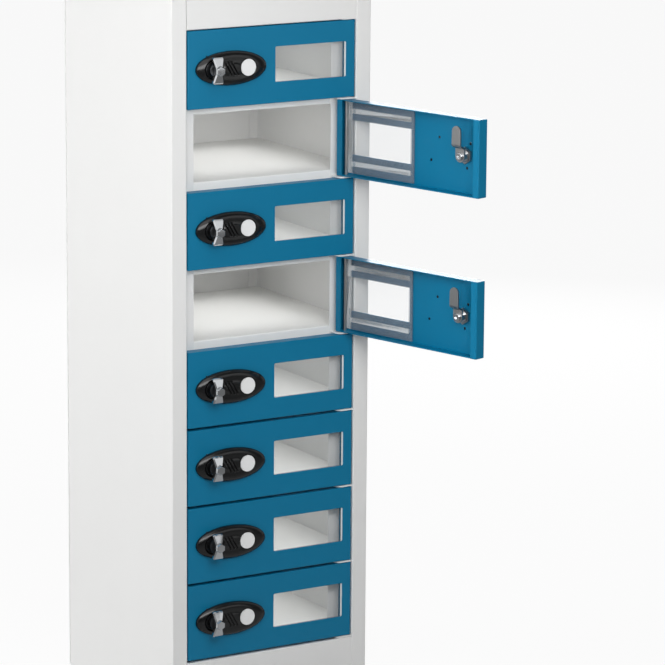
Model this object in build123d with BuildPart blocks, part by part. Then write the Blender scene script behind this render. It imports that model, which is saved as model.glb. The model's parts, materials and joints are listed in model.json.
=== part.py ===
from build123d import *
import os

# Eight-door tablet locker in folded sheet steel. Millimetres, +Z up, the doors face -Y.
# The origin is the middle of the base, on the floor.

# Cabinet
cabinet_width = 305.0
cabinet_depth = 305.0
door_count = 8
door_pitch = 107.5
fascia_height = 60.0
kick_height = 80.0
sheet = 1.2
bend_radius = 2.0
stile_width = 23.0
left_jamb_depth = 17.5
left_jamb_width = 19.5
right_jamb_depth = 20.5
right_jamb_width = 26.7
rear_flange = 15.0
panel_flange = 15.0
wall_hole_diameter = 8.0
wall_hole_spacing = 200.0
wall_hole_rise = 30.0

# Compartment trays
tray_rise = 8.1
tray_lip_drop = 4.1
tray_hem = 10.0
tray_rear_flange = 15.0

# Doors
door_gap = 3.6
side_gap = 1.5
door_depth = 17.0
door_lip = 10.0
hinge_bend_radius = 2.5
door_edge_radius = 1.0
open_doors = (2, 4)
open_angle = 105.5

# Hinges: one rod through a lug in every gap between the doors
rod_diameter = 5.0
rod_from_stile = 10.5
rod_from_front = 6.5
running_clearance = 0.08
fitted_clearance = 0.05
lug_thickness = 2.0
lug_reach = 14.5
lug_setback = 0.5
lug_corner_radius = 9.0
washer_thickness = 0.6
washer_diameter = 10.0

# Viewing window
window_width = 109.5
window_height = 47.5
window_hinge_margin = 14.0
window_corner_radius = 2.0
pane_thickness = 2.0
pane_height = 98.0
pane_overlap_free = 6.0
pane_overlap_hinge = 8.0
tape_thickness = 0.5
tape_width = 7.0
tape_height_from_middle = 36.0

# Oval lock plate
plate_length = 106.0
plate_height = 46.0
plate_from_free_edge = 63.9
plate_rim = 3.0
plate_rise = 9.5
peg_diameter = 3.4
peg_length = 0.9
peg_hole_clearance = 0.3
peg_places = ((-35.3, 16.1), (-29.9, -17.0), (19.3, 18.6), (33.5, -13.4))
disc_from_middle = 23.0
disc_diameter = 24.0
disc_thickness = 1.4
disc_seat_rise = 7.0
groove_length = 23.0
groove_width = 2.0
groove_spacing = 5.0
groove_angle = 120.0
groove_floor_rise = 6.6
groove_from_middle = -3.0

# Lock: barrel, knob and spindle, cam
lock_from_free_edge = 35.5
well_diameter = 26.0
well_floor_rise = 4.0
barrel_diameter = 16.0
barrel_across_flats = 14.0
barrel_head_diameter = 22.0
barrel_head_thickness = 2.0
barrel_length_inside = 12.0
nut_across_flats = 20.0
nut_thickness = 4.0
spindle_diameter = 8.0
spindle_square = 6.0
running_gap = 0.3
hub_diameter = 19.0
hub_height = 8.0
wing_height = 35.0
wing_tip_width = 16.0
wing_waist_width = 9.5
wing_thickness = 10.0
wing_chamfer = 1.5
boss_across_flats = 11.5
boss_height = 3.5
cam_thickness = 2.0
cam_length = 41.0
cam_foot_width = 16.0
cam_tip_width = 15.0
cam_step = 7.8
cam_step_start = 11.5
cam_step_end = 15.0
cam_bend_radius = 2.5
screw_diameter = 11.0
screw_thickness = 3.0
socket_across_flats = 5.0
socket_depth = 1.8

os.makedirs("parts", exist_ok=True)

# Places that follow from the sizes above
cabinet_height = kick_height + door_count * door_pitch + fascia_height
left = -cabinet_width / 2
right = cabinet_width / 2
front = -cabinet_depth / 2
back = cabinet_depth / 2
left_stile_edge = left + stile_width
right_stile_edge = right - stile_width
left_jamb_y = front + left_jamb_depth
right_jamb_y = front + right_jamb_depth
flange_back_y = back - sheet
top_of_base = sheet
under_top = cabinet_height - sheet
tray_lip_y = right_jamb_y + sheet
tray_rear_y = flange_back_y - sheet

free_edge = left_stile_edge + side_gap
hinge_edge = right_stile_edge - side_gap
door_height = door_pitch - door_gap
door_inner_y = front + sheet
hinge_x = right_stile_edge - rod_from_stile
hinge_y = front + rod_from_front
window_right = hinge_edge - window_hinge_margin
window_left = window_right - window_width
lock_x = free_edge + lock_from_free_edge
plate_x = free_edge + plate_from_free_edge
plate_edge_x = plate_length / 2
plate_edge_z = plate_height / 2


def gap_line(number):
    """Height of the middle of the gap under door `number`; 0 is the gap over the first door."""
    return cabinet_height - fascia_height - number * door_pitch


def door_middle(number):
    """Height of the middle of door `number`, counted from the top."""
    return gap_line(number) + door_pitch / 2


def facing(depth):
    """Plane that faces the user, `depth` behind the doors' front face."""
    return Plane.XZ.offset(-front - depth)


def door_place(number):
    """Where door `number` stands: shut, or swung out about the hinge rod."""
    swing = open_angle if number in open_doors else 0
    on_rod = Pos(hinge_x, hinge_y, door_middle(number)) * Rot(0, 0, swing)
    return on_rod * Pos(-hinge_x, -hinge_y, 0)


def folded_section(plane, *points, radius=bend_radius, thickness=sheet):
    """Section of a folded sheet on `plane`, its metal to the left of the line through `points`.

    `radius` is that of the bends on this line, one for all of them or one for each.
    """
    corners = [Vector(*point) for point in points]
    runs = [(end - start).normalized() for start, end in zip(corners, corners[1:])]
    lefts = [run.rotate(Axis.Z, 90) for run in runs]
    radii = radius if isinstance(radius, tuple) else (radius,) * (len(corners) - 2)
    far_corners = [corners[0] + lefts[0] * thickness]
    far_radii = []
    for index, near_radius in enumerate(radii):
        before, after = lefts[index], lefts[index + 1]
        mitre = (before + after) * (thickness / (1 + before.dot(after)))
        far_corners.append(corners[index + 1] + mitre)
        turns_left = runs[index].cross(runs[index + 1]).Z > 0
        far_radii.append(near_radius - thickness if turns_left else near_radius + thickness)
    far_corners.append(corners[-1] + lefts[-1] * thickness)
    with BuildSketch(plane) as section:
        with BuildLine():
            near = FilletPolyline(*corners, radius=radii)
            far = FilletPolyline(*far_corners, radius=tuple(far_radii))
            Line(near @ 0, far @ 0)
            Line(near @ 1, far @ 1)
        make_face()
    return section.sketch


def save(part, name):
    """Label a finished piece and write it as its own file."""
    part.label = name
    export_step(part, f"parts/{name}.step")


# Side panels: outer wall, front stile, return and jamb in one folded sheet
side_height = under_top - top_of_base
with BuildPart() as side_left:
    left_section = folded_section(
        Plane.XY.offset(top_of_base),
        (left + rear_flange, flange_back_y),
        (left, flange_back_y),
        (left, front),
        (left_stile_edge, front),
        (left_stile_edge, left_jamb_y),
        (left_stile_edge + left_jamb_width, left_jamb_y),
    )
    extrude(left_section, amount=side_height)
save(side_left.part, "side_left")

with BuildPart() as side_right:
    right_section = folded_section(
        Plane.XY.offset(top_of_base),
        (right_stile_edge - right_jamb_width, right_jamb_y),
        (right_stile_edge, right_jamb_y),
        (right_stile_edge, front),
        (right, front),
        (right, flange_back_y),
        (right - rear_flange, flange_back_y),
    )
    extrude(right_section, amount=side_height)
save(side_right.part, "side_right")

# Back panel, welded on the side panels' rear flanges, with two wall-fixing holes
with BuildPart() as back_panel:
    with BuildSketch(Plane.XZ.offset(-back)):
        with Locations((0, (top_of_base + under_top) / 2)):
            Rectangle(cabinet_width, side_height)
        with Locations((0, door_middle(1) + wall_hole_rise)):
            with GridLocations(wall_hole_spacing, 0, 2, 1):
                Circle(wall_hole_diameter / 2, mode=Mode.SUBTRACT)
    extrude(amount=sheet)
save(back_panel.part, "back_panel")

# Top and base: a flat sheet over the ends of the walls, with a flange inside each side wall
flange_x = cabinet_width / 2 - sheet
flange_length = cabinet_depth - 2 * panel_flange
with BuildPart() as base_panel:
    with BuildSketch():
        Rectangle(cabinet_width, cabinet_depth)
    extrude(amount=sheet)
    with BuildSketch(Plane.XY.offset(sheet)):
        with GridLocations(2 * flange_x - sheet, 0, 2, 1):
            Rectangle(sheet, flange_length)
    extrude(amount=panel_flange)
save(base_panel.part, "base_panel")

top_panel = mirror(base_panel.part, about=Plane.XY.offset(cabinet_height / 2), mode=Mode.PRIVATE)
save(top_panel, "top_panel")

# Fascia over the doors and kick plate under them: channels between the two stiles,
# that end where the bend of the left jamb begins
channel_length = right_stile_edge - left_stile_edge
channel_rear_y = left_jamb_y - bend_radius
with BuildPart() as top_fascia:
    fascia_section = folded_section(
        Plane.YZ.offset(left_stile_edge),
        (channel_rear_y, under_top),
        (front, under_top),
        (front, gap_line(0) + door_gap / 2),
        (channel_rear_y, gap_line(0) + door_gap / 2),
    )
    extrude(fascia_section, amount=channel_length)
save(top_fascia.part, "top_fascia")

with BuildPart() as kick_plate:
    kick_section = folded_section(
        Plane.YZ.offset(left_stile_edge),
        (channel_rear_y, gap_line(door_count) - door_gap / 2),
        (front, gap_line(door_count) - door_gap / 2),
        (front, top_of_base),
        (channel_rear_y, top_of_base),
    )
    extrude(kick_section, amount=channel_length)
save(kick_plate.part, "kick_plate")

# Compartment trays: rear flange, floor, front lip and hem in one folded sheet
tray_width = cabinet_width - 2 * sheet
with BuildPart() as tray:
    tray_section = folded_section(
        Plane.YZ.offset(left + sheet),
        (tray_rear_y, tray_rise - tray_rear_flange),
        (tray_rear_y, tray_rise),
        (tray_lip_y, tray_rise),
        (tray_lip_y, -tray_lip_drop),
        (tray_lip_y + tray_hem, -tray_lip_drop),
    )
    extrude(tray_section, amount=tray_width)
    # The rear corners are rounded to clear the bends of the side panels
    with BuildSketch(Plane.XY.offset(-tray_rear_flange)) as tray_plan:
        with Locations((0, tray_lip_y)):
            Rectangle(
                tray_width,
                tray_rear_y - tray_lip_y,
                align=(Align.CENTER, Align.MIN),
            )
        fillet(tray_plan.vertices().group_by(Axis.Y)[-1], bend_radius)
    extrude(amount=2 * tray_rear_flange, mode=Mode.INTERSECT)
trays =[Pos(0, 0, gap_line(number)) * tray.part for number in range(door_count + 1)]
save(Compound(trays), "shelves")

# Hinge lugs, one in every gap, welded to the hinge stile and jamb
lug_left = hinge_x - lug_reach
lug_front = front + lug_setback
with BuildPart() as lug:
    with BuildSketch(Plane.XY.offset(-lug_thickness / 2)) as lug_outline:
        with Locations((lug_left, lug_front)):
            Rectangle(
                right_stile_edge - lug_left,
                right_jamb_y - lug_front,
                align=(Align.MIN, Align.MIN),
            )
        front_left = lug_outline.vertices().group_by(Axis.X)[0].sort_by(Axis.Y)[0]
        fillet(front_left, lug_corner_radius)
        in_the_bend = lug_outline.vertices().group_by(Axis.X)[-1].sort_by(Axis.Y)[-1]
        fillet(in_the_bend, bend_radius)
        with Locations((hinge_x, hinge_y)):
            Circle(rod_diameter / 2 + fitted_clearance, mode=Mode.SUBTRACT)
    extrude(amount=lug_thickness)
lugs = [Pos(0, 0, gap_line(number)) * lug.part for number in range(door_count + 1)]
save(Compound(lugs), "hinge_lugs")

# Hinge rod, trapped between the fascia and the kick plate
rod_low = gap_line(door_count) - lug_thickness / 2
rod_high = gap_line(0) + lug_thickness / 2
with BuildPart() as hinge_rod:
    with BuildSketch(Plane.XY.offset(rod_low)):
        with Locations((hinge_x, hinge_y)):
            Circle(rod_diameter / 2)
    extrude(amount=rod_high - rod_low)
save(hinge_rod.part, "hinge_rod")

# Nylon washers on the lugs, one under each door
with BuildPart() as washer:
    with BuildSketch(Plane.XY.offset(lug_thickness / 2)):
        with Locations((hinge_x, hinge_y)):
            Circle(washer_diameter / 2)
            Circle(rod_diameter / 2 + fitted_clearance, mode=Mode.SUBTRACT)
    extrude(amount=washer_thickness)
washers = [Pos(0, 0, gap_line(number)) * washer.part for number in range(1, door_count + 1)]
save(Compound(washers), "hinge_washers")

# Door, drawn shut with its middle at height 0: a pan with returns all round
# and a lip along the free and the hinge side
with BuildPart() as door:
    door_section = folded_section(
        Plane.XY.offset(-door_height / 2),
        (free_edge + door_lip, front + door_depth),
        (free_edge, front + door_depth),
        (free_edge, front),
        (hinge_edge, front),
        (hinge_edge, front + door_depth),
        (hinge_edge - door_lip, front + door_depth),
        radius=(bend_radius, bend_radius, hinge_bend_radius, hinge_bend_radius),
    )
    extrude(door_section, amount=door_height)
    with BuildSketch(Plane.XY.offset(door_height / 2)):
        with Locations((free_edge + sheet, door_inner_y)):
            Rectangle(
                hinge_edge - free_edge - 2 * sheet,
                door_depth - 2 * sheet,
                align=(Align.MIN, Align.MIN),
            )
        with Locations((hinge_x, hinge_y)):
            Circle(rod_diameter / 2 + running_clearance, mode=Mode.SUBTRACT)
    extrude(amount=-sheet)
    mirror(about=Plane.XY)
    front_edges = door.edges().filter_by(Axis.X).group_by(Axis.Y)[0].sort_by(Axis.Z)
    fillet([front_edges[0], front_edges[-1]], door_edge_radius)
    with BuildSketch(facing(0)):
        with Locations(((window_left + window_right) / 2, 0)):
            RectangleRounded(window_width, window_height, window_corner_radius)
        with Locations(*[(plate_x + x, z) for x, z in peg_places]):
            Circle(peg_diameter / 2 + peg_hole_clearance)
    extrude(amount=-sheet, mode=Mode.SUBTRACT)
    with BuildSketch(facing(0)):
        with Locations((lock_x, 0)):
            Circle(barrel_diameter / 2 + fitted_clearance)
            Rectangle(
                barrel_across_flats + 2 * fitted_clearance,
                barrel_diameter * 2,
                mode=Mode.INTERSECT,
            )
    extrude(amount=-sheet, mode=Mode.SUBTRACT)

# Clear pane behind the window, held by strips of foam tape
tape_from_window = (pane_overlap_hinge - tape_width) / 2
with BuildPart() as tapes:
    with BuildSketch(facing(sheet)):
        with Locations(((window_left + window_right) / 2, 0)):
            with GridLocations(0, 2 * tape_height_from_middle, 1, 2):
                Rectangle(window_width, tape_width)
        with Locations((window_right + tape_from_window + tape_width / 2, 0)):
            Rectangle(tape_width, pane_height)
    extrude(amount=-tape_thickness)
with BuildPart() as pane:
    with BuildSketch(facing(sheet + tape_thickness)):
        with Locations((window_left - pane_overlap_free, 0)):
            Rectangle(
                window_width + pane_overlap_free + pane_overlap_hinge,
                pane_height,
                align=(Align.MIN, Align.CENTER),
            )
    extrude(amount=-pane_thickness)

# Oval lock plate: a domed moulding with a well for the knob, a seat for the number disc,
# three slanted grooves and pegs through the door
dome_rise = plate_rise - plate_rim
with BuildPart() as lock_plate:
    with BuildSketch(facing(0)):
        with Locations((plate_x, 0)):
            Ellipse(plate_edge_x, plate_edge_z)
    extrude(amount=plate_rim)
    for share in (0, 0.4, 0.75, 0.97):
        with BuildSketch(facing(-plate_rim - dome_rise * share)):
            with Locations((plate_x, 0)):
                narrowing = (1 - share**2) ** 0.5
                Ellipse(plate_edge_x * narrowing, plate_edge_z * narrowing)
    loft()
    with BuildSketch(facing(-well_floor_rise)):
        with Locations((lock_x, 0)):
            Circle(well_diameter / 2)
    extrude(amount=plate_rise, mode=Mode.SUBTRACT)
    with BuildSketch(facing(0)):
        with Locations((lock_x, 0)):
            Circle(barrel_diameter / 2 + fitted_clearance)
    extrude(amount=well_floor_rise, mode=Mode.SUBTRACT)
    with BuildSketch(facing(-disc_seat_rise)):
        with Locations((plate_x + disc_from_middle, 0)):
            Circle(disc_diameter / 2 + fitted_clearance)
    extrude(amount=plate_rise, mode=Mode.SUBTRACT)
    with BuildSketch(facing(-groove_floor_rise)):
        with Locations((plate_x + groove_from_middle, 0)):
            with GridLocations(groove_spacing, 0, 3, 1):
                SlotOverall(groove_length, groove_width, rotation=groove_angle)
    extrude(amount=plate_rise, mode=Mode.SUBTRACT)
    with BuildSketch(facing(0)):
        with Locations(*[(plate_x + x, z) for x, z in peg_places]):
            Circle(peg_diameter / 2)
    extrude(amount=-peg_length)
with BuildPart() as disc:
    with BuildSketch(facing(-disc_seat_rise)):
        with Locations((plate_x + disc_from_middle, 0)):
            Circle(disc_diameter / 2)
    extrude(amount=disc_thickness)

# Lock barrel with two flats, and the nut that clamps it from inside the door
with BuildPart() as barrel:
    with BuildSketch(facing(-well_floor_rise)):
        with Locations((lock_x, 0)):
            Circle(barrel_diameter / 2)
            Rectangle(barrel_across_flats, barrel_diameter * 2, mode=Mode.INTERSECT)
    extrude(amount=-well_floor_rise - barrel_length_inside)
    with BuildSketch(facing(-well_floor_rise)):
        with Locations((lock_x, 0)):
            Circle(barrel_head_diameter / 2)
    extrude(amount=barrel_head_thickness)
    with BuildSketch(facing(barrel_length_inside)):
        with Locations((lock_x, 0)):
            Circle(spindle_diameter / 2 + running_clearance)
    extrude(amount=barrel_length_inside * 2 + well_floor_rise, mode=Mode.SUBTRACT)
with BuildPart() as nut:
    with BuildSketch(facing(sheet)):
        with Locations((lock_x, 0)):
            RegularPolygon(nut_across_flats / 2, 6, major_radius=False)
            Circle(barrel_diameter / 2 + fitted_clearance, mode=Mode.SUBTRACT)
    extrude(amount=-nut_thickness)

# Knob: spindle, round hub, two waisted wings and a six-sided boss, turning as one
hub_base_rise = well_floor_rise + barrel_head_thickness + running_gap
wing_base_rise = hub_base_rise + hub_height
boss_base_rise = wing_base_rise + wing_thickness
cam_seat = barrel_length_inside + running_gap
with BuildPart() as knob:
    with BuildSketch(facing(cam_seat)):
        with Locations((lock_x, 0)):
            Circle(spindle_diameter / 2)
    extrude(amount=cam_seat + hub_base_rise)
    with BuildSketch(facing(cam_seat + cam_thickness)):
        with Locations((lock_x, 0)):
            Rectangle(spindle_square, spindle_square)
    extrude(amount=cam_thickness)
    with BuildSketch(facing(-hub_base_rise)):
        with Locations((lock_x, 0)):
            Circle(hub_diameter / 2)
    extrude(amount=hub_height)
    with BuildSketch(facing(-wing_base_rise)):
        tip_x = wing_tip_width / 2
        tip_z = wing_height / 2 - wing_chamfer
        waist_x = wing_waist_width / 2
        with BuildLine(facing(-wing_base_rise)):
            ThreePointArc(
                (lock_x - tip_x, tip_z), (lock_x, wing_height / 2), (lock_x + tip_x, tip_z)
            )
            ThreePointArc(
                (lock_x + tip_x, tip_z), (lock_x + waist_x, 0), (lock_x + tip_x, -tip_z)
            )
            ThreePointArc(
                (lock_x + tip_x, -tip_z), (lock_x, -wing_height / 2), (lock_x - tip_x, -tip_z)
            )
            ThreePointArc(
                (lock_x - tip_x, -tip_z), (lock_x - waist_x, 0), (lock_x - tip_x, tip_z)
            )
        make_face()
    extrude(amount=wing_thickness)
    chamfer(knob.faces().sort_by(Axis.Y)[0].edges(), wing_chamfer)
    with BuildSketch(facing(-boss_base_rise)):
        with Locations((lock_x, 0)):
            RegularPolygon(boss_across_flats / 2, 6, major_radius=False)
    extrude(amount=boss_height, taper=20)

# Cam: a stepped flat bar on the square of the spindle, and the screw that holds it
with BuildPart() as cam:
    cam_section = folded_section(
        Plane.YZ.offset(lock_x - cam_foot_width / 2),
        (front + cam_seat + cam_step, cam_length),
        (front + cam_seat + cam_step, cam_step_end),
        (front + cam_seat, cam_step_start),
        (front + cam_seat, -cam_foot_width / 2),
        radius=cam_bend_radius,
        thickness=cam_thickness,
    )
    extrude(cam_section, amount=cam_foot_width)
    with BuildSketch(facing(0)):
        with Locations((lock_x, 0)):
            Circle(cam_foot_width / 2)
        with Locations((lock_x, cam_length - cam_tip_width / 2)):
            Circle(cam_tip_width / 2)
        make_hull()
        with Locations((lock_x, 0)):
            square_hole = spindle_square + 2 * fitted_clearance
            Rectangle(square_hole, square_hole, mode=Mode.SUBTRACT)
    extrude(amount=-2 * cam_seat - cam_step, mode=Mode.INTERSECT)
with BuildPart() as screw:
    with BuildSketch(facing(cam_seat + cam_thickness)):
        with Locations((lock_x, 0)):
            Circle(screw_diameter / 2)
    extrude(amount=-screw_thickness)
    chamfer(screw.faces().sort_by(Axis.Y)[-1].edges(), screw_thickness / 4)
    with BuildSketch(facing(cam_seat + cam_thickness + screw_thickness)):
        with Locations((lock_x, 0)):
            RegularPolygon(socket_across_flats / 2, 6, major_radius=False)
    extrude(amount=socket_depth, mode=Mode.SUBTRACT)

# One door with its pane and lock for every compartment
for number in range(1, door_count + 1):
    place = door_place(number)
    save(place * door.part, f"door_{number}")
    save(Compound([place * pane.part, *(place * tapes.part).solids()]), f"pane_{number}")
    save(Compound([place * lock_plate.part, place * disc.part]), f"lock_plate_{number}")
    save(Compound([place * barrel.part, place * nut.part]), f"barrel_{number}")
    save(place * knob.part, f"knob_{number}")
    save(Compound([place * cam.part, place * screw.part]), f"cam_{number}")
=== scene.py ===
import json
import logging
import math
from dataclasses import dataclass, field
from enum import Enum

import bmesh
import bpy
from mathutils import Matrix, Vector


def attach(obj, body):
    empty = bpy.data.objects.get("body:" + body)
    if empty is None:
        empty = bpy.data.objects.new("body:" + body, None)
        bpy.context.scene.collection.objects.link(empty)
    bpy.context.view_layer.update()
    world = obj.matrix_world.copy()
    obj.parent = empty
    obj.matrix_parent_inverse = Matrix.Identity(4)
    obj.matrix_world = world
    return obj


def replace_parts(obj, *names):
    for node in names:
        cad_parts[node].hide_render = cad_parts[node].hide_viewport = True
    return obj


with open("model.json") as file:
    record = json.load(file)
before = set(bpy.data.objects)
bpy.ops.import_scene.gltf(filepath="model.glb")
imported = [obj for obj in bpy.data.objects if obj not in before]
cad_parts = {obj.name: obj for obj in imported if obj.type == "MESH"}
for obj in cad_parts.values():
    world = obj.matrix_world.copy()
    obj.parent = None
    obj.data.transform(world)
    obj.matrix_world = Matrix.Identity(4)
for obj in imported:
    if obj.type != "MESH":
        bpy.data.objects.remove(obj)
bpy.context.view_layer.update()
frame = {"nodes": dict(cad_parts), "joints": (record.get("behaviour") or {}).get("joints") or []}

LOG = logging.getLogger("tablet_locker")
MM = 0.001
IMAGE_WIDTH_PX = 665
SENSOR_MM = 36.0
# Faces that meet at less than this are shaded as one surface
SMOOTH_BELOW = math.radians(32)
# Faces that meet at more than this have an edge to soften
SHARP_ABOVE = math.radians(35)
# Faces within this angle of each other are joined up
FLAT_WITHIN = math.radians(0.5)
# Corners nearer than this are one, in millimetres
MERGE_MM = 0.002
# The cosine of the widest angle at which an edge still counts as one along Y
ALONG_Y = 0.9
# The ends of an edge are at one depth within this, in metres
SAME_DEPTH = 1e-7
EDGE_FACES = 2
CORNER_FACES = 6
ROUND_SIDES = 64
HEXAGON = 6
# A door whose hinge can swing back by more than this stands open at rest, in degrees
OPEN_FROM_DEG = 1.0
# Copies of CAD nodes are in their place already
IN_PLACE = Matrix.Identity(4)


class Slot(str, Enum):
    """Material slots of the record."""

    CABINET = "cabinet_paint"
    DOOR = "door_paint"
    PANE = "clear_plastic"
    PLATE = "black_plastic"
    WHITE = "white_plastic"
    CHROME = "chrome"
    STEEL = "steel"


def linear(text: str) -> tuple[float, float, float, float]:
    """Turns an sRGB hex colour to linear RGBA, by the numbers of the sRGB standard.

    Args:
        text: six hex digits.

    Returns:
        Linear red, green, blue and an alpha of 1.
    """
    shares = [int(text[i:i + 2], 16) / 255 for i in (0, 2, 4)]
    return (*[s / 12.92 if s <= 0.04045 else ((s + 0.055) / 1.055) ** 2.4 for s in shares], 1.0)


def add_node(tree: bpy.types.NodeTree, kind: str, settings: dict | None = None,
             inputs: dict | None = None) -> bpy.types.Node:
    """Adds a node with its settings and links.

    Args:
        tree: the material's node tree.
        kind: the node's type name.
        settings: properties of the node by name.
        inputs: a value, or the socket to link, for each input by name or place.

    Returns:
        The new node.
    """
    node = tree.nodes.new(kind)
    for name, value in (settings or {}).items():
        setattr(node, name, value)
    for name, value in (inputs or {}).items():
        if isinstance(value, bpy.types.NodeSocket):
            tree.links.new(value, node.inputs[name])
        else:
            node.inputs[name].default_value = value
    return node


@dataclass(frozen=True)
class Finish:
    """A surface finish, with a fine texture and slow changes of colour and gloss.

    Sizes are in millimetres. `spread` is how far the colour strays to either side.
    """

    name: str
    colour: str
    metallic: float = 0.0
    roughness: float = 0.4
    gloss_spread: float = 0.05
    spread: float = 0.02
    patch_mm: float = 70.0
    grain_mm: float = 1.2
    grain_depth_mm: float = 0.01
    stretch: tuple[float, float, float] = (1.0, 1.0, 1.0)
    ior: float = 1.5
    alpha: float = 1.0
    coat: float = 0.0
    specular: float = 0.5
    patch_detail: float = 2.0
    grain_detail: float = 1.5
    bump_strength: float = 0.6

    def material(self) -> bpy.types.Material:
        """Builds the finish as a node material.

        Returns:
            The material, the same one each time it is asked for.
        """
        found = bpy.data.materials.get(self.name)
        if found:
            return found
        material = bpy.data.materials.new(self.name)
        material.use_nodes = True
        tree = material.node_tree
        shader = tree.nodes["Principled BSDF"]
        place = add_node(tree, "ShaderNodeTexCoord").outputs["Object"]
        turned = add_node(tree, "ShaderNodeMapping", inputs={
            "Vector": place, "Scale": self.stretch})
        patches = add_node(tree, "ShaderNodeTexNoise", inputs={
            "Vector": place, "Scale": 1 / (self.patch_mm * MM), "Detail": self.patch_detail})
        grain = add_node(tree, "ShaderNodeTexNoise", inputs={
            "Vector": turned.outputs["Vector"], "Scale": 1 / (self.grain_mm * MM),
            "Detail": self.grain_detail})
        base = Vector(linear(self.colour)[:3])
        tones = add_node(tree, "ShaderNodeMix", {"data_type": "RGBA"}, {
            "Factor": patches.outputs["Fac"],
            "A": (*(base * (1 - self.spread)), 1.0), "B": (*(base * (1 + self.spread)), 1.0)})
        gloss = add_node(tree, "ShaderNodeMapRange", inputs={
            "Value": grain.outputs["Fac"], "To Min": self.roughness - self.gloss_spread,
            "To Max": self.roughness + self.gloss_spread})
        bump = add_node(tree, "ShaderNodeBump", inputs={
            "Height": grain.outputs["Fac"], "Strength": self.bump_strength,
            "Distance": self.grain_depth_mm * MM})
        tree.links.new(tones.outputs["Result"], shader.inputs["Base Color"])
        tree.links.new(gloss.outputs["Result"], shader.inputs["Roughness"])
        tree.links.new(bump.outputs["Normal"], shader.inputs["Normal"])
        shader.inputs["Metallic"].default_value = self.metallic
        shader.inputs["IOR"].default_value = self.ior
        shader.inputs["Alpha"].default_value = self.alpha
        shader.inputs["Coat Weight"].default_value = self.coat
        shader.inputs["Specular IOR Level"].default_value = self.specular
        return material


# Polyester powder coat, baked on steel: satin, with the fine ripple of orange peel
CABINET_PAINT = Finish("light_grey_powder_coat", "f0f0ef", roughness=0.46, spread=0.008)
# The trays take the same coat painted a little whiter, as painted light that brightens the
# compartment floors
TRAY_PAINT_WITH_PAINTED_LIGHT = Finish("whitened_powder_coat_painted_light", "f6f6f4", roughness=0.46, spread=0.008)
DOOR_PAINT = Finish("blue_powder_coat", "00769e", roughness=0.42, spread=0.02, specular=0.3)
# Extruded polycarbonate sheet: clear in the window, greyed by its adhesive over the paint
PANE = Finish("clear_polycarbonate", "c9d2d6", roughness=0.08, gloss_spread=0.02, spread=0.01,
              grain_mm=30.0, grain_depth_mm=0.004, ior=1.585, alpha=0.07)
GLUED_PANE = Finish("polycarbonate_over_adhesive", "8795a3", roughness=0.16, gloss_spread=0.03,
                    spread=0.04, patch_mm=20.0, grain_mm=30.0, grain_depth_mm=0.004, ior=1.585,
                    alpha=0.5)
# Acrylic foam tape: matt, with its fine cells; these show coarser than they are
FOAM_TAPE = Finish("grey_foam_tape", "e9ebec", roughness=0.75, grain_mm=0.8, grain_depth_mm=0.03)
# Injection-moulded ABS: deep black and glossy, with a soft flow pattern
BLACK_ABS = Finish("black_moulded_abs", "0f1011", roughness=0.22, gloss_spread=0.04, spread=0.06,
                   patch_mm=25.0, grain_mm=2.5, grain_depth_mm=0.006, ior=1.54, coat=0.15,
                   specular=0.4)
# Printing film on a plastic disc: white and matt, with the faint tooth of the film
WHITE_DISC = Finish("white_printed_disc", "f0f1f1", roughness=0.5, spread=0.01, grain_mm=0.7)
# Unpigmented moulded nylon: milky and slightly waxy
NYLON = Finish("natural_nylon", "e6e4dc", roughness=0.5, grain_mm=0.9)
# Zinc die casting, polished and chromium plated: mirror-like, soft casting waves
CHROME = Finish("chromium_plate", "cdd0d3", metallic=1.0, roughness=0.1, gloss_spread=0.03,
                spread=0.01, patch_mm=12.0, grain_mm=6.0, grain_depth_mm=0.01)
# The same casting in a darker, rougher grey, for the hub and barrel head inside the well
DARK_GREY_CASTING = Finish("dark_grey_casting", "505153", metallic=1.0, roughness=0.36,
                      gloss_spread=0.05, spread=0.05, patch_mm=10.0, grain_mm=3.0)
# Zinc-plated mild steel: grey, with the faint drawn grain of the bar or strip
ZINC = Finish("zinc_plated_steel", "b6b6b6", metallic=1.0, roughness=0.32, gloss_spread=0.07,
              spread=0.05, patch_mm=8.0, grain_mm=0.9, grain_depth_mm=0.008,
              stretch=(1.0, 1.0, 0.15))


def dress(node: str, finish: Finish) -> None:
    """Gives a CAD node its finish.

    Args:
        node: the node's name.
        finish: what it is made of and how it was surfaced.
    """
    mesh = frame["nodes"][node].data
    mesh.materials.clear()
    mesh.materials.append(finish.material())
    LOG.info("dressed %s in %s", node, finish.name)


def place_piece(shape: bmesh.types.BMesh, name: str, body: str, finish: Finish,
                place: Matrix) -> bpy.types.Object:
    """Makes an object of a finished shape, in its place, riding on its body.

    Args:
        shape: the shape, in metres; it is used up.
        name: the piece's name.
        body: the CAD body that carries it.
        finish: its surface finish.
        place: where the shape goes.

    Returns:
        The piece.
    """
    shape.transform(place)
    bmesh.ops.recalc_face_normals(shape, faces=shape.faces)
    for face in shape.faces:
        face.smooth = True
    mesh = bpy.data.meshes.new(name)
    shape.to_mesh(mesh)
    shape.free()
    mesh.set_sharp_from_angle(angle=SMOOTH_BELOW)
    mesh.materials.append(finish.material())
    piece = bpy.data.objects.new(name, mesh)
    even = piece.modifiers.new("flat_faces_stay_flat", "WEIGHTED_NORMAL")
    even.keep_sharp = True
    bpy.context.scene.collection.objects.link(piece)
    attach(piece, body)
    LOG.info("made %s on %s", name, body)
    return piece


def door_hinges() -> list[dict]:
    """The joints that the doors swing on."""
    return [joint for joint in frame["joints"] if joint["name"].startswith("door_hinge")]


def stored_open(hinge: dict) -> bool:
    """Whether the door of a hinge stands open at rest, so that it can swing back."""
    return hinge["range_deg"][0] < -OPEN_FROM_DEG


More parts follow.
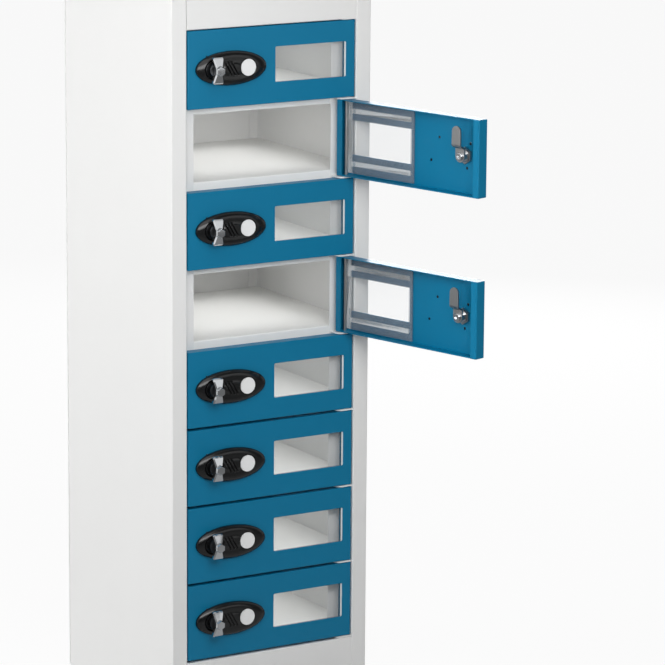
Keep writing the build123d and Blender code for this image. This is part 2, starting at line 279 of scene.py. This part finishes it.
def round_edges(shape: bmesh.types.BMesh, edges: list[bmesh.types.BMEdge], width: float,
                faces: int = EDGE_FACES, clamp: bool = False) -> None:
    """Rounds some edges of a shape.

    Args:
        shape: the shape to change.
        edges: the edges to round.
        width: the width of the rounding, in the shape's own unit.
        faces: how many faces round an edge.
        clamp: whether the roundings stop where they meet.
    """
    bmesh.ops.bevel(shape, geom=edges, offset=width, segments=faces, profile=0.5,
                    affect="EDGES", material=-1, clamp_overlap=clamp)


def blank(low: Vector, high: Vector) -> bmesh.types.BMesh:
    """The blank that a sheet or strip is worked from.

    Args:
        low: its lowest corner.
        high: its highest corner.

    Returns:
        The shape, with sharp edges.
    """
    shape = bmesh.new()
    bmesh.ops.create_cube(shape, size=1.0)
    bmesh.ops.scale(shape, vec=high - low, verts=shape.verts)
    bmesh.ops.translate(shape, vec=(low + high) / 2, verts=shape.verts)
    return shape


def block(low: Vector, high: Vector, edge: float) -> bmesh.types.BMesh:
    """A block with softened edges.

    Args:
        low: its lowest corner.
        high: its highest corner.
        edge: the width of the softened edges.

    Returns:
        The shape.
    """
    shape = blank(low, high)
    round_edges(shape, shape.edges[:], edge)
    return shape


def strip(low: Vector, high: Vector, end_radius: float) -> bmesh.types.BMesh:
    """A flat strip in the XZ plane with rounded corners.

    Args:
        low: its lowest corner.
        high: its highest corner.
        end_radius: the radius of its four corners.

    Returns:
        The shape.
    """
    shape = blank(low, high)
    corners = [edge for edge in shape.edges
               if abs((edge.verts[0].co - edge.verts[1].co).normalized().y) > ALONG_Y]
    round_edges(shape, corners, end_radius, CORNER_FACES)
    return shape


def turned_prism(radius: float, near: float, far: float, sides: int, edge: float,
                 centre: Vector) -> bmesh.types.BMesh:
    """A round or many-sided plug along Y with softened rims.

    Args:
        radius: the distance from its axis to its corners.
        near: Y of its front face.
        far: Y of its rear face.
        sides: how many sides it has.
        edge: the width of the softened rims.
        centre: a point on its axis.

    Returns:
        The shape.
    """
    shape = bmesh.new()
    bmesh.ops.create_cone(shape, cap_ends=True, segments=sides, radius1=radius, radius2=radius,
                          depth=far - near)
    bmesh.ops.rotate(shape, cent=(0, 0, 0), matrix=Matrix.Rotation(math.pi / 2, 3, "X"),
                     verts=shape.verts)
    bmesh.ops.translate(shape, vec=(centre.x, (near + far) / 2, centre.z), verts=shape.verts)
    rims = [e for e in shape.edges if abs(e.verts[0].co.y - e.verts[1].co.y) < SAME_DEPTH]
    round_edges(shape, rims, edge)
    return shape


class Part(Enum):
    """Which solids of a node a copy takes."""

    MAIN = "the largest"
    SMALL = "the smallest"
    ALL = "all of them"


def islands(shape: bmesh.types.BMesh) -> list[set[bmesh.types.BMVert]]:
    """Finds what hangs together in a shape.

    Args:
        shape: the shape to look through.

    Returns:
        The vertices of each of its solids.
    """
    found, left = [], set(shape.verts)
    while left:
        island, waiting = set(), [left.pop()]
        while waiting:
            vertex = waiting.pop()
            island.add(vertex)
            for other in (edge.other_vert(vertex) for edge in vertex.link_edges):
                if other in left:
                    left.discard(other)
                    waiting.append(other)
        found.append(island)
    return found


def span(island: set[bmesh.types.BMVert]) -> float:
    """The diagonal of the box round some vertices."""
    spots = [v.co for v in island]
    return math.dist([min(axis) for axis in zip(*spots)], [max(axis) for axis in zip(*spots)])


def soften(shape: bmesh.types.BMesh, width: float, faces: int = EDGE_FACES,
           above: float = SHARP_ABOVE) -> None:
    """Softens the sharp edges of a shape.

    Args:
        shape: the shape to change.
        width: the width of the softened edge, in the shape's own unit.
        faces: how many faces round an edge.
        above: the least angle between two faces that counts as sharp.
    """
    sharp = [e for e in shape.edges if e.is_manifold and e.calc_face_angle(0.0) > above]
    round_edges(shape, sharp, width, faces, clamp=True)


def refined_copy(node: str, keep: Part) -> bmesh.types.BMesh:
    """A merged copy of a CAD node or one of its solids, with its flat faces joined up.

    Args:
        node: the node's name.
        keep: which of its solids, by size.

    Returns:
        The shape, in its place.
    """
    shape = bmesh.new()
    shape.from_mesh(frame["nodes"][node].data)
    bmesh.ops.remove_doubles(shape, verts=shape.verts, dist=MERGE_MM * MM)
    if keep is not Part.ALL:
        solids = sorted(islands(shape), key=span)
        kept = solids[-1] if keep is Part.MAIN else solids[0]
        bmesh.ops.delete(shape, geom=[v for v in shape.verts if v not in kept], context="VERTS")
    bmesh.ops.dissolve_limit(shape, angle_limit=FLAT_WITHIN, verts=shape.verts,
                             edges=shape.edges)
    return shape


@dataclass
class Cabinet:
    """The folded sheet cabinet, with its trays, lugs, hinge rod and washers.

    Sizes are in millimetres. A tray's front hem lies in front of Y = `hem_end`, within `hem_band`
    of the level that is `hem_level` below the middle of the gap between two doors. The hem and
    the bend of the band over the first door hang lower than in the solids, by `lip_drop` and
    `fascia_drop`, as they do in the photograph.
    """

    painted: tuple[str, ...] = ("side_left", "side_right", "back_panel", "top_panel", "base_panel",
                                "kick_plate", "hinge_lugs")
    fascia_bend: float = 5.0
    fascia_drop: float = 2.4
    lip_drop: float = 5.2
    hem_level: float = 3.0
    hem_band: float = 2.0
    hem_end: float = -115.0

    def build_fascia(self) -> None:
        """The band over the first door, its lower bend let down to a fine gap."""
        fascia = refined_copy("top_fascia", Part.MAIN)
        bottom = min(v.co.z for v in fascia.verts)
        bend = [v for v in fascia.verts if v.co.z < bottom + self.fascia_bend * MM]
        bmesh.ops.translate(fascia, vec=(0, 0, -self.fascia_drop * MM), verts=bend)
        piece = place_piece(fascia, "fascia_band", "cabinet", CABINET_PAINT,
                            IN_PLACE)
        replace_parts(piece, "top_fascia")

    def build_trays(self) -> None:
        """The trays, their front lips let down until they show under the doors."""
        trays = refined_copy("shelves", Part.ALL)
        levels = sorted(hinge["pos_m"][2] for hinge in door_hinges())
        pitch = levels[1] - levels[0]
        for line in (level - pitch / 2 for level in (*levels, levels[-1] + pitch)):
            hem = [v for v in trays.verts if v.co.y < self.hem_end * MM
                   and abs(v.co.z - line + self.hem_level * MM) < self.hem_band * MM]
            bmesh.ops.translate(trays, vec=(0, 0, -self.lip_drop * MM), verts=hem)
        # The trays' whiter coat is painted light on the compartment floors
        piece = place_piece(trays, "compartment_trays", "cabinet", TRAY_PAINT_WITH_PAINTED_LIGHT,
                            IN_PLACE)
        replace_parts(piece, "shelves")

    def build(self) -> None:
        """Builds the fascia and the trays, and dresses the cabinet's other nodes."""
        self.build_fascia()
        self.build_trays()
        for node in self.painted:
            dress(node, CABINET_PAINT)
        dress("hinge_rod", ZINC)
        dress("hinge_washers", NYLON)


@dataclass
class Door:
    """One door with its window, pane, tape and lock. Sizes are in millimetres.

    They are those of the shut door: X from the middle of the cabinet, depth inwards from the
    front face, and height from the door's middle. `front` is Y of that face, `open_angle` is in
    degrees, and `tape_peek` is how far the tape at the hinge side is seen in the window.
    """

    number: int
    open_angle: float = 105.5
    front: float = -152.5
    window_left: float = 4.5
    window_right: float = 114.0
    window_top: float = 23.75
    pane_top: float = 49.0
    pane_depth: tuple[float, float] = (1.7, 3.7)
    pane_overlap: tuple[float, float] = (6.0, 8.0)
    pane_edge: float = 0.25
    tape_height: float = 36.0
    tape_width: float = 7.0
    tape_peek: float = 2.2
    tape_depth: tuple[float, float] = (1.2, 1.7)
    tape_corner: float = 2.5
    side_tape_corner: float = 0.5
    lock_x: float = -92.5
    disc_x: float = -41.1
    disc_radius: float = 11.2
    disc_depth: tuple[float, float] = (-8.4, -7.0)
    disc_edge: float = 0.35
    paint_edge: float = 0.25
    body: str = field(init=False)
    place: Matrix = field(init=False)

    def __post_init__(self) -> None:
        """Finds the door's body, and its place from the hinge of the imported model."""
        self.body = f"door_{self.number}"
        hinge = next(joint for joint in door_hinges() if joint["child"] == self.body)
        swing = math.radians(self.open_angle) if stored_open(hinge) else 0.0
        on_rod = Matrix.Translation(hinge["pos_m"]) @ Matrix.Rotation(swing, 4, "Z")
        self.place = on_rod @ Matrix.Translation((-hinge["pos_m"][0], -hinge["pos_m"][1], 0))

    def spot(self, x: float, depth: float, z: float) -> Vector:
        """A point of the shut door, `depth` behind its front face, in metres."""
        return Vector((x, self.front + depth, z)) * MM

    def add(self, shape: bmesh.types.BMesh, name: str, finish: Finish, slot: Slot,
            body: str | None = None) -> bpy.types.Object:
        """Places a shape that was drawn on the shut door.

        Args:
            shape: the shape, in metres.
            name: the piece's name, without the door's number.
            finish: its surface finish.
            slot: the record's slot for the piece; not used.
            body: the CAD body that carries it, if that isn't the door.

        Returns:
            The piece.
        """
        return place_piece(shape, f"{name}_{self.number}", body or self.body, finish,
                           self.place)

    def stick_tape(self, name: str, low: tuple[float, float], high: tuple[float, float],
                   corner: float) -> None:
        """Sticks a strip of tape between the pane and the door.

        Args:
            name: the strip's name, without the door's number.
            low: X and height of its lowest corner.
            high: X and height of its highest corner.
            corner: the radius of its corners.
        """
        near, far = self.tape_depth
        tape = strip(self.spot(low[0], near, low[1]), self.spot(high[0], far, high[1]),
                     corner * MM)
        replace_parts(self.add(tape, name, FOAM_TAPE, Slot.WHITE), f"pane_{self.number}")

    def build_pane(self) -> None:
        """The clear pane, and the strips of tape that hold it."""
        free, hinge = self.pane_overlap
        near, far = self.pane_depth
        pane = block(self.spot(self.window_left - free, near, -self.pane_top),
                     self.spot(self.window_right + hinge, far, self.pane_top),
                     self.pane_edge * MM)
        hinge_tape = self.window_right - self.tape_peek
        cuts = [((point, 0, 0), (1, 0, 0)) for point in (self.window_left, hinge_tape)]
        tape_low = self.tape_height - self.tape_width / 2
        tape_high = self.tape_height + self.tape_width / 2
        cuts += [((0, 0, side * level), (0, 0, 1)) for side in (-1, 1)
                 for level in (self.window_top, tape_low, tape_high)]
        for point, across in cuts:
            bmesh.ops.bisect_plane(pane, geom=pane.verts[:] + pane.edges[:] + pane.faces[:],
                                   plane_co=Vector(point) * MM, plane_no=across)
        for face in pane.faces:
            middle = face.calc_center_median() / MM
            height = abs(middle.z)
            # The pane is glued to the paint, which greys it, but not in the window or over tape
            over_tape = tape_low < height < tape_high
            clear = (middle.x > hinge_tape or middle.x > self.window_left
                     and (height < self.window_top or over_tape))
            face.material_index = 0 if clear else 1
        sheet = self.add(pane, "clear_pane", PANE, Slot.PANE)
        sheet.data.materials.append(GLUED_PANE.material())
        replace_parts(sheet, f"pane_{self.number}")
        for label, side in (("upper", 1), ("lower", -1)):
            middle = side * self.tape_height
            self.stick_tape(f"{label}_tape", (self.window_left, middle - self.tape_width / 2),
                            (hinge_tape, middle + self.tape_width / 2), self.tape_corner)
        self.stick_tape("hinge_side_tape", (hinge_tape, -self.pane_top),
                        (self.window_right + hinge, self.pane_top), self.side_tape_corner)

    def build_lock_plate(self) -> None:
        """The domed black moulding and the white disc in its seat."""
        node = f"lock_plate_{self.number}"
        piece = place_piece(refined_copy(node, Part.MAIN), f"lock_moulding_{self.number}",
                            self.body, BLACK_ABS, IN_PLACE)
        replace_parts(piece, node)
        near, far = ((self.front + depth) * MM for depth in self.disc_depth)
        disc = turned_prism(self.disc_radius * MM, near, far, ROUND_SIDES, self.disc_edge * MM,
                            Vector((self.disc_x * MM, 0, 0)))
        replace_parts(self.add(disc, "number_disc", WHITE_DISC, Slot.WHITE), node)

    def build_sheet(self) -> None:
        """The folded pan of the door, its cut edges softened by the coat of paint."""
        node = f"door_{self.number}"
        pan = refined_copy(node, Part.MAIN)
        soften(pan, self.paint_edge * MM)
        piece = place_piece(pan, f"door_pan_{self.number}", self.body, DOOR_PAINT,
                            IN_PLACE)
        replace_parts(piece, node)

    def build(self) -> None:
        """Builds the door's pieces, then its lock."""
        self.build_sheet()
        self.build_pane()
        self.build_lock_plate()
        Lock(self).build()
        LOG.info("built door %d", self.number)


@dataclass
class Lock:
    """Barrel, nut, knob, cam and screw of one door's lock. Sizes are in millimetres.

    Depths count from the door's front face, inwards. Angles are in degrees.
    """

    door: Door
    head_radius: float = 11.0
    head_depth: tuple[float, float] = (-6.0, -4.0)
    head_edge: float = 0.5
    barrel_radius: float = 8.0
    barrel_half_flats: float = 7.0
    barrel_end: float = 12.0
    thread_pitch: float = 1.0
    thread_height: float = 0.45
    thread_sides: int = 40
    thread_merge: float = 1e-5
    nut_radius: float = 11.547
    nut_depth: tuple[float, float] = (1.2, 5.2)
    nut_edge: float = 0.6
    hub_radius: float = 9.5
    hub_depth: tuple[float, float] = (-14.3, -6.3)
    hub_edge: float = 0.9
    hub_sides: int = 56
    wing_height: float = 35.0
    wing_tip: float = 16.0
    wing_waist: float = 9.5
    wing_depth: tuple[float, float] = (-24.3, -14.3)
    wing_slope: float = 4.2
    wing_crown: float = 0.35
    wing_chamfer: float = 2.2
    wing_chamfer_above: float = 50.0
    wing_edge: float = 0.25
    wing_edge_above: float = 25.0
    wing_grid: tuple[int, int] = (6, 14)
    boss_radius: float = 7.4
    boss_top_radius: float = 6.0
    boss_depth: tuple[float, float] = (-27.8, -23.6)
    boss_edge: float = 0.45
    cam_edge: float = 0.3

    def plug(self, radius: float, depth: tuple[float, float], sides: int,
             edge: float) -> bmesh.types.BMesh:
        """A plug on the lock's axis.

        Args:
            radius: the distance from its axis to its corners.
            depth: the depths of its front and rear face.
            sides: how many sides it has.
            edge: the width of its softened rims.

        Returns:
            The shape, in metres.
        """
        near, far = ((self.door.front + level) * MM for level in depth)
        return turned_prism(radius * MM, near, far, sides, edge * MM,
                            Vector((self.door.lock_x * MM, 0, 0)))

    def on_axis(self, shape: bmesh.types.BMesh, depth: float = 0.0) -> bmesh.types.BMesh:
        """Takes a shape from millimetres to metres, and onto the lock's axis.

        Args:
            shape: the shape to change.
            depth: where its origin goes.

        Returns:
            The same shape.
        """
        bmesh.ops.scale(shape, vec=(MM, MM, MM), verts=shape.verts)
        bmesh.ops.translate(shape, vec=self.door.spot(self.door.lock_x, depth, 0),
                            verts=shape.verts)
        return shape

    def half_width(self, up: float) -> float:
        """Half the width of the wings, at a share `up` of the way from waist to tip."""
        flare = up * up * (3 - 2 * up)
        return (self.wing_waist + (self.wing_tip - self.wing_waist) * flare) / 2

    def thread(self) -> bmesh.types.BMesh:
        """The threaded barrel: rings of thread, cut off at the two flats.

        Returns:
            The shape, in metres.
        """
        shape = bmesh.new()
        depth, inside = 0.0, self.barrel_radius - self.thread_height
        outline = [shape.verts.new((0, 0, 0)), shape.verts.new((inside, 0, 0))]
        while depth + self.thread_pitch <= self.barrel_end:
            outline.append(shape.verts.new((self.barrel_radius, depth + self.thread_pitch / 2, 0)))
            depth += self.thread_pitch
            outline.append(shape.verts.new((inside, depth, 0)))
        outline.append(shape.verts.new((0, depth, 0)))
        edges = [shape.edges.new(pair) for pair in zip(outline, outline[1:])]
        bmesh.ops.spin(shape, geom=outline + edges, cent=(0, 0, 0), axis=(0, 1, 0),
                       angle=math.tau, steps=self.thread_sides, use_merge=True)
        bmesh.ops.remove_doubles(shape, verts=shape.verts, dist=self.thread_merge)
        for side in (-1, 1):
            cut = bmesh.ops.bisect_plane(
                shape, geom=shape.verts[:] + shape.edges[:] + shape.faces[:],
                plane_co=(side * self.barrel_half_flats, 0, 0), plane_no=(side, 0, 0),
                clear_outer=True)
            bmesh.ops.holes_fill(shape, edges=[e for e in cut["geom_cut"]
                                               if isinstance(e, bmesh.types.BMEdge)])
        return self.on_axis(shape)

    def wings(self) -> bmesh.types.BMesh:
        """The bow-tie wings: waisted, crowned, and thinner towards their tips.

        Returns:
            The shape, in metres.
        """
        shape = bmesh.new()
        columns, rows = self.wing_grid
        bmesh.ops.create_grid(shape, x_segments=columns, y_segments=rows, size=1.0)
        near, far = self.wing_depth
        for vertex in shape.verts:
            across, up = vertex.co.x, vertex.co.y
            vertex.co = (across * self.half_width(abs(up)), far, up * self.wing_height / 2)
        top = bmesh.ops.extrude_face_region(shape, geom=shape.faces[:])
        for vertex in (v for v in top["geom"] if isinstance(v, bmesh.types.BMVert)):
            up = abs(vertex.co.z) / (self.wing_height / 2)
            crown = self.wing_crown * (vertex.co.x / self.half_width(up)) ** 2
            vertex.co.y = near + self.wing_slope * up + crown
        bmesh.ops.recalc_face_normals(shape, faces=shape.faces)
        soften(shape, self.wing_chamfer, 1, math.radians(self.wing_chamfer_above))
        soften(shape, self.wing_edge, above=math.radians(self.wing_edge_above))
        return self.on_axis(shape)

    def boss(self) -> bmesh.types.BMesh:
        """The six-sided boss on the middle of the wings.

        Returns:
            The shape, in metres.
        """
        shape = bmesh.new()
        near, far = self.boss_depth
        bmesh.ops.create_cone(shape, cap_ends=True, segments=HEXAGON,
                              radius1=self.boss_top_radius, radius2=self.boss_radius,
                              depth=far - near)
        bmesh.ops.rotate(shape, cent=(0, 0, 0), matrix=Matrix.Rotation(-math.pi / 2, 3, "X"),
                         verts=shape.verts)
        soften(shape, self.boss_edge)
        return self.on_axis(shape, (near + far) / 2)

    def build(self) -> None:
        """Builds the lock's pieces on the door and on its own turning body."""
        door = self.door
        turning = f"lock_{door.number}"
        barrel, knob, cam = (f"{name}_{door.number}" for name in ("barrel", "knob", "cam"))
        head = self.plug(self.head_radius, self.head_depth, ROUND_SIDES, self.head_edge)
        nut = self.plug(self.nut_radius, self.nut_depth, HEXAGON, self.nut_edge)
        for name, shape, finish in (("barrel_head", head, DARK_GREY_CASTING),
                                    ("barrel_thread", self.thread(), ZINC),
                                    ("lock_nut", nut, ZINC)):
            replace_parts(door.add(shape, name, finish, Slot.STEEL), barrel)
        hub = self.plug(self.hub_radius, self.hub_depth, self.hub_sides, self.hub_edge)
        for name, shape, finish in (("knob_hub", hub, DARK_GREY_CASTING),
                                    ("knob_wings", self.wings(), CHROME),
                                    ("knob_boss", self.boss(), CHROME)):
            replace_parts(door.add(shape, name, finish, Slot.CHROME, turning), knob)
        for name, part, finish in (("cam_lever", Part.MAIN, ZINC),
                                   ("cam_screw", Part.SMALL, CHROME)):
            shape = refined_copy(cam, part)
            soften(shape, self.cam_edge * MM)
            piece = place_piece(shape, f"{name}_{door.number}", turning, finish,
                                IN_PLACE)
            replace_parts(piece, cam)


@dataclass(frozen=True)
class Lamp:
    """A soft rectangular lamp, with its place and size in metres.

    `spread` is in degrees, and `seen` is whether gloss mirrors the lamp.
    """

    name: str
    place: tuple[float, float, float]
    watts: float
    width: float
    height: float
    spread: float = 180.0
    seen: bool = True

    def hang(self, aim: Vector, raised: float = 0.0) -> bpy.types.Object:
        """Puts the lamp in the scene.

        Args:
            aim: the point that it faces.
            raised: how much higher than its place it hangs.

        Returns:
            The lamp.
        """
        data = bpy.data.lights.new(self.name, "AREA")
        data.shape, data.size, data.size_y = "RECTANGLE", self.width, self.height
        data.energy = self.watts
        data.spread = math.radians(self.spread)
        lamp = bpy.data.objects.new(self.name, data)
        lamp.visible_glossy = self.seen
        lamp.location = Vector(self.place) + Vector((0, 0, raised))
        lamp.rotation_mode = "QUATERNION"
        lamp.rotation_quaternion = (aim - lamp.location).to_track_quat("-Z", "Y")
        bpy.context.scene.collection.objects.link(lamp)
        return lamp


@dataclass
class Studio:
    """Camera, lamps, floor and surroundings. The camera stands where the photograph was taken.

    Lengths are in metres and angles in degrees. Every compartment has a lamp of its own near its
    ceiling, facing a point `compartment_aim` below the door's middle. `sky` is how much the
    surroundings light, and `room` how bright gloss shows what is behind the camera, which turns
    to white over `room_fades`. Gloss shows the floor at `floor_at_foot` near the locker's foot,
    at `floor_ahead` further than `foot_reach` from it, and white behind it, over `floor_fades`.
    """

    focal_px: float = 3825.96
    yaw: float = 31.0206
    pitch: float = -12.1695
    roll: float = 0.3951
    position: tuple[float, float, float] = (-2.52094, -4.50340, 1.60793)
    clip: tuple[float, float] = (0.1, 100.0)
    lamps: tuple[Lamp, ...] = (
        Lamp("front_lamp", (-0.4, -1.35, 1.12), 10.3, 1.3, 0.5),
        Lamp("high_lamp", (-0.63, -1.05, 2.0), 8.5, 1.7, 1.2),
        Lamp("left_lamp", (-1.5, -1.0, 0.95), 2.5, 0.5, 1.7),
        Lamp("right_lamp", (1.05, -2.2, 1.11), 2.87, 1.0, 1.08),
        Lamp("low_lamp", (1.05, -2.2, 0.385), 0.38, 1.0, 0.14),
        Lamp("side_lamp", (-2.6, 0.9, 1.1), 48.0, 1.6, 1.6, seen=False),
        Lamp("rear_lamp", (1.8, 2.0, 1.2), 45.0, 1.4, 1.4))
    aim: tuple[float, float, float] = (0.0, 0.0, 0.6)
    shut_lamp: Lamp = Lamp("compartment_lamp", (0.0, 0.0, 0.044), 0.1, 0.26, 0.24, spread=95.0,
                           seen=False)
    open_lamp: Lamp = Lamp("compartment_lamp", (0.0, 0.0, 0.044), 0.068, 0.2, 0.2, spread=80.0,
                           seen=False)
    compartment_aim: float = 0.05
    sky: float = 0.02
    room: float = 0.08
    room_fades: tuple[float, float] = (-0.5, 0.35)
    floor_size: float = 14.0
    floor_drop: float = 0.0005
    floor_colour: str = "dadada"
    floor_fades: tuple[float, float] = (1.0, 3.0)
    shadow_share: float = 0.06
    floor_ahead: float = 0.19
    floor_at_foot: float = 0.42
    foot: tuple[float, float, float] = (0.1, -0.35, 0.0)
    foot_reach: float = 1.1

    def camera(self) -> None:
        """Stands the camera at the photograph's place, with no shift of the lens."""
        yaw, pitch, roll = (math.radians(a) for a in (self.yaw, self.pitch, self.roll))
        ahead = Vector((math.sin(yaw) * math.cos(pitch), math.cos(yaw) * math.cos(pitch),
                        math.sin(pitch)))
        level = Vector((math.cos(yaw), -math.sin(yaw), 0))
        over = level.cross(ahead)
        right = level * math.cos(roll) + over * math.sin(roll)
        up = over * math.cos(roll) - level * math.sin(roll)
        turn = Matrix((right, up, -ahead)).transposed()
        data = bpy.data.cameras.new("studio_camera")
        data.sensor_width = SENSOR_MM
        data.lens = self.focal_px / IMAGE_WIDTH_PX * SENSOR_MM
        data.clip_start, data.clip_end = self.clip
        camera = bpy.data.objects.new("studio_camera", data)
        camera.matrix_world = Matrix.Translation(self.position) @ turn.to_4x4()
        bpy.context.scene.collection.objects.link(camera)
        bpy.context.scene.camera = camera

    def share_seen(self, tree: bpy.types.NodeTree) -> bpy.types.NodeSocket:
        """Tells the rays that show the surroundings from those that light.

        Args:
            tree: the node tree to build in.

        Returns:
            1 for rays from the camera, off gloss and through glass, otherwise 0.
        """
        path = add_node(tree, "ShaderNodeLightPath")
        first = add_node(tree, "ShaderNodeMath", {"operation": "MAXIMUM"}, {
            0: path.outputs["Is Camera Ray"], 1: path.outputs["Is Glossy Ray"]})
        return add_node(tree, "ShaderNodeMath", {"operation": "MAXIMUM"}, {
            0: first.outputs[0], 1: path.outputs["Is Transmission Ray"]}).outputs[0]

    def white_level(self, tree: bpy.types.NodeTree, mirrored: bpy.types.NodeSocket,
                    ) -> bpy.types.NodeSocket:
        """How bright the surroundings look.

        Args:
            tree: the node tree to build in.
            mirrored: how bright gloss shows them.

        Returns:
            1, or `mirrored` for glossy rays.
        """
        return add_node(tree, "ShaderNodeMapRange", inputs={
            "Value": add_node(tree, "ShaderNodeLightPath").outputs["Is Glossy Ray"],
            "To Min": 1.0, "To Max": mirrored}).outputs["Result"]

    def surroundings(self) -> None:
        """White background behind the locker, a dimmer room behind the camera."""
        world = bpy.data.worlds.new("studio")
        bpy.context.scene.world = world
        world.use_nodes = True
        tree = world.node_tree
        towards = add_node(tree, "ShaderNodeSeparateXYZ", inputs={
            "Vector": add_node(tree, "ShaderNodeTexCoord").outputs["Generated"]})
        room = add_node(tree, "ShaderNodeMapRange", inputs={
            "Value": towards.outputs["Y"], "From Min": self.room_fades[0],
            "From Max": self.room_fades[1], "To Min": self.room, "To Max": 1.0})
        strength = add_node(tree, "ShaderNodeMapRange", inputs={
            "Value": self.share_seen(tree), "To Min": self.sky,
            "To Max": self.white_level(tree, room.outputs["Result"])})
        light = tree.nodes["Background"]
        light.inputs["Color"].default_value = (1, 1, 1, 1)
        tree.links.new(strength.outputs["Result"], light.inputs["Strength"])

    def floor(self) -> None:
        """A plain pale floor that keeps a faint shadow, and that gloss sees darker in front."""
        shape = bmesh.new()
        bmesh.ops.create_grid(shape, x_segments=1, y_segments=1, size=self.floor_size / 2)
        bmesh.ops.translate(shape, vec=(0, 0, -self.floor_drop), verts=shape.verts)
        mesh = bpy.data.meshes.new("floor")
        shape.to_mesh(mesh)
        shape.free()
        material = bpy.data.materials.new("pale_studio_floor")
        material.use_nodes = True
        tree = material.node_tree
        tree.nodes.remove(tree.nodes["Principled BSDF"])
        spot = add_node(tree, "ShaderNodeTexCoord").outputs["Object"]
        place = add_node(tree, "ShaderNodeSeparateXYZ", inputs={"Vector": spot})
        away = add_node(tree, "ShaderNodeVectorMath", {"operation": "DISTANCE"}, {
            0: spot, 1: self.foot})
        ahead = add_node(tree, "ShaderNodeMapRange", inputs={
            "Value": away.outputs["Value"], "From Max": self.foot_reach,
            "To Min": self.floor_at_foot, "To Max": self.floor_ahead})
        behind = add_node(tree, "ShaderNodeMapRange", inputs={
            "Value": place.outputs["Y"], "From Min": self.floor_fades[0],
            "From Max": self.floor_fades[1], "To Min": ahead.outputs["Result"]})
        matt = add_node(tree, "ShaderNodeBsdfDiffuse", inputs={
            "Color": linear(self.floor_colour)})
        glow = add_node(tree, "ShaderNodeEmission", inputs={
            "Color": (1, 1, 1, 1), "Strength": self.white_level(tree, behind.outputs["Result"])})
        share = add_node(tree, "ShaderNodeMapRange", inputs={
            "Value": self.share_seen(tree), "To Min": 0.0, "To Max": 1 - self.shadow_share})
        mix = add_node(tree, "ShaderNodeMixShader", inputs={
            0: share.outputs["Result"], 1: matt.outputs[0], 2: glow.outputs[0]})
        tree.links.new(mix.outputs[0], tree.nodes["Material Output"].inputs["Surface"])
        mesh.materials.append(material)
        floor = bpy.data.objects.new("floor", mesh)
        bpy.context.scene.collection.objects.link(floor)

    def build(self) -> None:
        """Sets up the whole studio and the plain view transform."""
        self.camera()
        for lamp in self.lamps:
            lamp.hang(Vector(self.aim))
        for hinge in door_hinges():
            level = hinge["pos_m"][2]
            kind = self.open_lamp if stored_open(hinge) else self.shut_lamp
            small = kind.hang(Vector((0, 0, level - self.compartment_aim)), level)
            small.visible_camera = small.visible_transmission = False
        self.surroundings()
        self.floor()
        bpy.context.scene.view_settings.view_transform = "Standard"


def main() -> None:
    """Builds the locker's sub-assemblies in order, then the studio."""
    logging.basicConfig(level=logging.INFO, format="%(message)s")
    Cabinet().build()
    for number in range(1, len(door_hinges()) + 1):
        Door(number).build()
    Studio().build()


if __name__ == "__main__":
    main()
